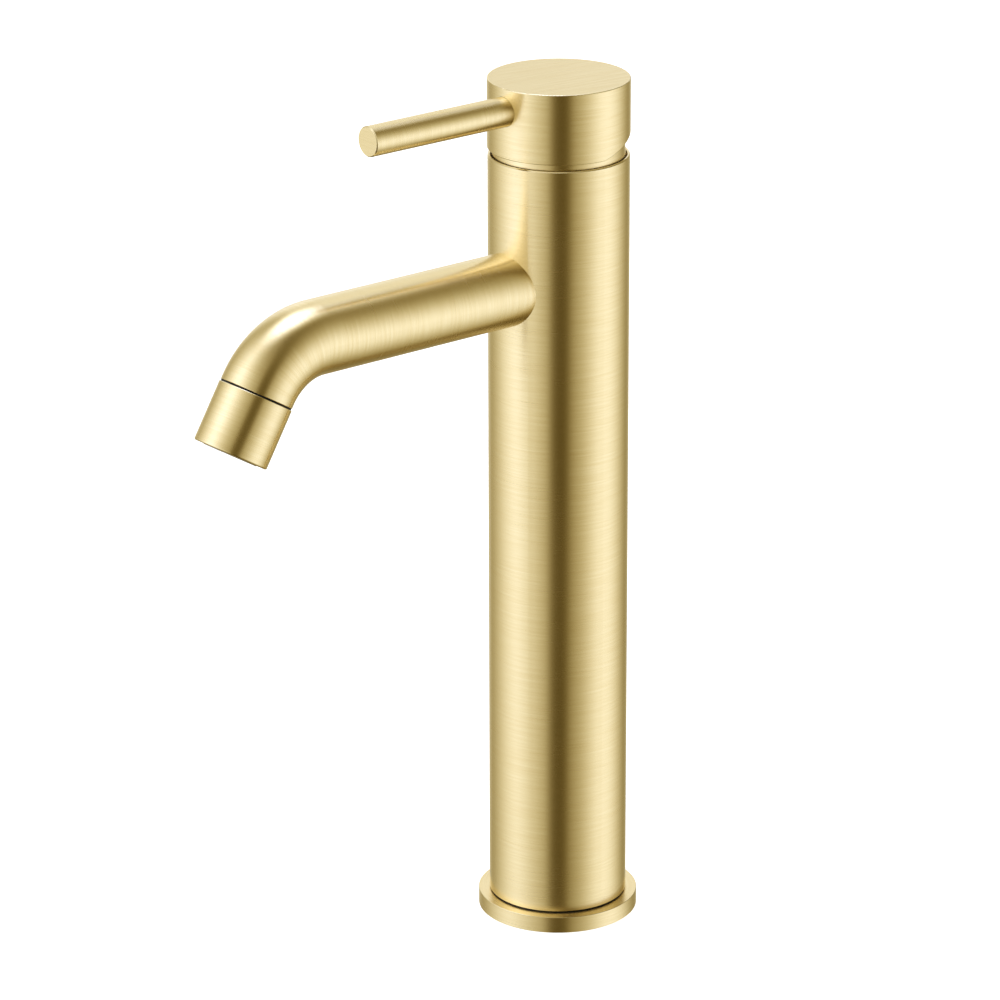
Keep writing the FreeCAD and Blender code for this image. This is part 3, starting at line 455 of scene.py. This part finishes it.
def brushed_brass(name, make_axis, seed=0.0, straight=None):
    """Pale gold brass, brushed round the piece. Its end faces have rings, or straight marks at an angle."""
    material, g = new_material(name)
    place = g.node("ShaderNodeTexCoord").outputs["Object"]
    axis = make_axis(g, place)
    direction = axis.direction
    marks_place = (axis.length, axis.across, axis.over)
    if axis.sideways:
        surface = g.node("ShaderNodeNewGeometry").outputs["True Normal"]
        normal = g.turned(surface, "NORMAL", "WORLD", "OBJECT")
        facing = g.math("ABSOLUTE", g.vector("DOT_PRODUCT", normal, axis.direction))
        end = g.span(facing, *END_FACE)
        if straight is None:
            marks_place, direction = ring_brushing(g, axis, end)
        else:
            marks_place, direction = straight_brushing(g, axis, end, place, straight)
    marks = brush_marks(g, *marks_place, seed)
    patch = g.noise(place, PATCH_SCALE)
    wear_and_highlight = edge_wear_and_highlight(g, place)
    shader = g.node("ShaderNodeBsdfPrincipled")
    shader.inputs["Metallic"].default_value = 1.0
    shader.inputs["Anisotropic"].default_value = BRASS_ANISOTROPY
    tone = g.tint(g.span(marks, *MARKS_TONE), (*BRASS_SHADE, 1.0), BRASS)
    tone = g.tint(g.span(patch, *PATCH_TONE, 0.0, PATCH_TINT), tone, BRASS)
    # painted highlight: edges tinted paler, together with their polish wear
    tone = g.tint(g.math("MULTIPLY", wear_and_highlight, WEAR_AND_HIGHLIGHT_TINT), tone, BRASS_WORN_EDGE_HIGHLIGHT)
    # painted shade: seams darkened by ambient occlusion towards dark tarnish
    tone = g.tint(g.math("MULTIPLY", seam_shade_and_tarnish(g), SEAM_SHADE_AND_TARNISH_TINT), tone, BRASS_SEAM_SHADE_AND_TARNISH)
    g.put(shader.inputs["Base Color"], tone)
    rougher = BRASS_ROUGHNESS + MARKS_ROUGHNESS
    smoother = BRASS_ROUGHNESS - MARKS_ROUGHNESS
    rough = g.span(marks, *MARKS_GLOSS, rougher, smoother)
    rough = g.math("ADD", rough, g.span(patch, *NOISE_MIDDLE, -PATCH_ROUGHNESS, PATCH_ROUGHNESS))
    rough = g.math("SUBTRACT", rough, g.math("MULTIPLY", wear_and_highlight, WEAR_POLISH))
    g.put(shader.inputs["Roughness"], rough)
    g.put(shader.inputs["Tangent"], g.turned(direction, "VECTOR", "OBJECT", "WORLD"))
    finish_material(g, shader, marks, BRASS_RELIEF, BRASS_RELIEF_DEPTH)
    return material


# ---------------------------------------------------------------- the other materials

RAW_BRASS = ((0.86, 0.66, 0.36), (0.70, 0.50, 0.25))
STEEL = ((0.66, 0.66, 0.67), (0.52, 0.52, 0.53))
COPPER = ((0.90, 0.52, 0.36), (0.66, 0.34, 0.22))
WHITE_ACETAL = ((0.84, 0.84, 0.81), (0.76, 0.76, 0.72))
BLACK_NYLON = ((0.06, 0.06, 0.065), (0.035, 0.035, 0.038))
RUBBER = ((0.010, 0.009, 0.008), (0.026, 0.025, 0.023))
CERAMIC = ((0.86, 0.84, 0.78), (0.80, 0.77, 0.70))
CERAMIC_SPECK = (0.55, 0.50, 0.42)

TOOL_MARKS_SEED = 1.7
STAIN_SCALE = 140.0
STAIN_TONE = (0.35, 0.70)
STAIN_DETAIL = 4.0
STAIN_BREAK_UP = 0.6
METAL_WEAR = 0.4
METAL_RELIEF = 0.4
METAL_RELIEF_DEPTH = 0.00003

MOULD_GRAIN = 6000.0
MOULD_FLOW = 90.0
MOULD_WEAR = 0.25
MOULD_ROUGHNESS = 0.06        # how much rougher or smoother the grain is
MOULD_RELIEF = 0.25
MOULD_RELIEF_DEPTH = 0.00003

RUBBER_GRAIN = 4000.0
RUBBER_BLOOM = 160.0
RUBBER_BLOOM_TONE = (0.4, 0.75)
RUBBER_SHINE = 0.25
RUBBER_ROUGHNESS = (0.62, 0.78)
RUBBER_RELIEF = 0.4
RUBBER_RELIEF_DEPTH = 0.00004

CERAMIC_SPECKS = 2500.0
CERAMIC_CLOUDS = 120.0
CERAMIC_CLOUD_TONE = (0.35, 0.7)
CERAMIC_SPECK_TONE = (0.66, 0.72)
CERAMIC_SPECK_TINT = 0.3
CERAMIC_ROUGHNESS = (0.10, 0.18)
CERAMIC_RELIEF = 0.1
CERAMIC_RELIEF_DEPTH = 0.00001

FINE_DETAIL = 3.0             # octaves of the noises that show more than the usual two


def turned_metal(name, tones, roughness, make_axis=along_z):
    """Machined or drawn metal with tool marks round the axis."""
    colour, shade = tones
    material, g = new_material(name)
    place = g.node("ShaderNodeTexCoord").outputs["Object"]
    axis = make_axis(g, place)
    marks = brush_marks(g, axis.length, axis.across, axis.over, TOOL_MARKS_SEED)
    stain = g.noise(place, STAIN_SCALE, STAIN_DETAIL, STAIN_BREAK_UP)
    wear_and_highlight = edge_wear_and_highlight(g, place)
    shader = g.node("ShaderNodeBsdfPrincipled")
    shader.inputs["Metallic"].default_value = 1.0
    tone = g.tint(g.span(stain, *STAIN_TONE), (*colour, 1.0), shade)
    tone = g.tint(g.math("MULTIPLY", wear_and_highlight, METAL_WEAR), tone, colour)
    g.put(shader.inputs["Base Color"], tone)
    rough = g.span(marks, *NOISE_MIDDLE, roughness + 0.06, roughness - 0.04)
    g.put(shader.inputs["Roughness"], rough)
    finish_material(g, shader, marks, METAL_RELIEF, METAL_RELIEF_DEPTH)
    return material


def moulded_plastic(name, tones, roughness):
    """Acetal or nylon: a faint flow pattern, a fine spark-eroded grain and softly worn edges."""
    colour, shade = tones
    material, g = new_material(name)
    place = g.node("ShaderNodeTexCoord").outputs["Object"]
    grain = g.noise(place, MOULD_GRAIN)
    flow = g.noise(place, MOULD_FLOW, FINE_DETAIL)
    wear_and_highlight = edge_wear_and_highlight(g, place)
    shader = g.node("ShaderNodeBsdfPrincipled")
    tone = g.tint(g.span(flow, *NOISE_MIDDLE), (*colour, 1.0), shade)
    tone = g.tint(g.math("MULTIPLY", wear_and_highlight, MOULD_WEAR), tone, colour)
    g.put(shader.inputs["Base Color"], tone)
    rough = g.span(grain, *NOISE_MIDDLE, roughness - MOULD_ROUGHNESS, roughness + MOULD_ROUGHNESS)
    g.put(shader.inputs["Roughness"], rough)
    finish_material(g, shader, grain, MOULD_RELIEF, MOULD_RELIEF_DEPTH)
    return material


def seal_rubber(name):
    """Black rubber with a dusty bloom."""
    clean, dusty = RUBBER
    material, g = new_material(name)
    place = g.node("ShaderNodeTexCoord").outputs["Object"]
    grain = g.noise(place, RUBBER_GRAIN, FINE_DETAIL)
    bloom = g.noise(place, RUBBER_BLOOM, FINE_DETAIL)
    shader = g.node("ShaderNodeBsdfPrincipled")
    tone = g.tint(g.span(bloom, *RUBBER_BLOOM_TONE), (*clean, 1.0), dusty)
    shader.inputs["Specular IOR Level"].default_value = RUBBER_SHINE
    g.put(shader.inputs["Base Color"], tone)
    g.put(shader.inputs["Roughness"], g.span(grain, *NOISE_MIDDLE, *RUBBER_ROUGHNESS))
    finish_material(g, shader, grain, RUBBER_RELIEF, RUBBER_RELIEF_DEPTH)
    return material


def lapped_ceramic(name):
    """Alumina, ivory white, lapped almost to a mirror."""
    light, dark = CERAMIC
    material, g = new_material(name)
    place = g.node("ShaderNodeTexCoord").outputs["Object"]
    speck = g.noise(place, CERAMIC_SPECKS)
    cloud = g.noise(place, CERAMIC_CLOUDS)
    shader = g.node("ShaderNodeBsdfPrincipled")
    tone = g.tint(g.span(cloud, *CERAMIC_CLOUD_TONE), (*light, 1.0), dark)
    tone = g.tint(g.span(speck, *CERAMIC_SPECK_TONE, 0.0, CERAMIC_SPECK_TINT), tone, CERAMIC_SPECK)
    g.put(shader.inputs["Base Color"], tone)
    g.put(shader.inputs["Roughness"], g.span(speck, *NOISE_MIDDLE, *CERAMIC_ROUGHNESS))
    finish_material(g, shader, speck, CERAMIC_RELIEF, CERAMIC_RELIEF_DEPTH)
    return material


def dress(material, *names):
    """Puts a material on CAD nodes, in their own slots."""
    for name in names:
        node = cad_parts[name]
        if not node.material_slots:
            node.data.materials.append(material)
        for place in node.material_slots:
            place.material = material


def dress_all():
    dress(brushed_brass("brass_upright", along_z), "column", "trim_dome")
    dress(brushed_brass("brass_foot", along_z, seed=11.0), "base_flange")
    dress(brushed_brass("brass_cap", along_z, seed=23.0, straight=CAP_BRUSHING), "handle_cap")
    dress(brushed_brass("brass_lever", along_y, seed=37.0), "lever")
    dress(brushed_brass("brass_spout", along_spout, seed=41.0), "spout_tube")
    dress(brushed_brass("brass_nozzle", along_outlet, seed=53.0), "nozzle")
    dress(
        turned_metal("raw_brass", RAW_BRASS, 0.34),
        "base_block", "chamber_plug", "valve_body", "retaining_nut",
    )
    dress(turned_metal("steel_pin", STEEL, 0.28), "spindle", "pivot_pin")
    dress(turned_metal("steel_stud", STEEL, 0.28, along_y), "lever_stud", "grub_screw")
    dress(turned_metal("steel_mesh", STEEL, 0.30, along_outlet), "aerator_screens")
    dress(turned_metal("copper_tube", COPPER, 0.33), "hot_inlet_tube", "cold_inlet_tube")
    dress(
        seal_rubber("black_rubber"),
        "foot_washer", "joint_ring", "base_gasket", "hot_tube_seal", "cold_tube_seal", "plug_seal",
        "body_seal", "aerator_washer", "cartridge_seal", "hot_port_seal", "cold_port_seal",
        "disc_gasket",
    )
    dress(
        moulded_plastic("white_acetal", WHITE_ACETAL, 0.42),
        "aerator_housing", "outlet_grid", "flow_restrictor", "cartridge_base", "cartridge_housing",
    )
    dress(moulded_plastic("black_nylon", BLACK_NYLON, 0.46), "rotor", "disc_carrier")
    dress(lapped_ceramic("ceramic"), "fixed_disc", "moving_disc")


bpy.context.scene.view_settings.view_transform = "Standard"
make_camera()
make_studio()
make_floor()
dress_all()
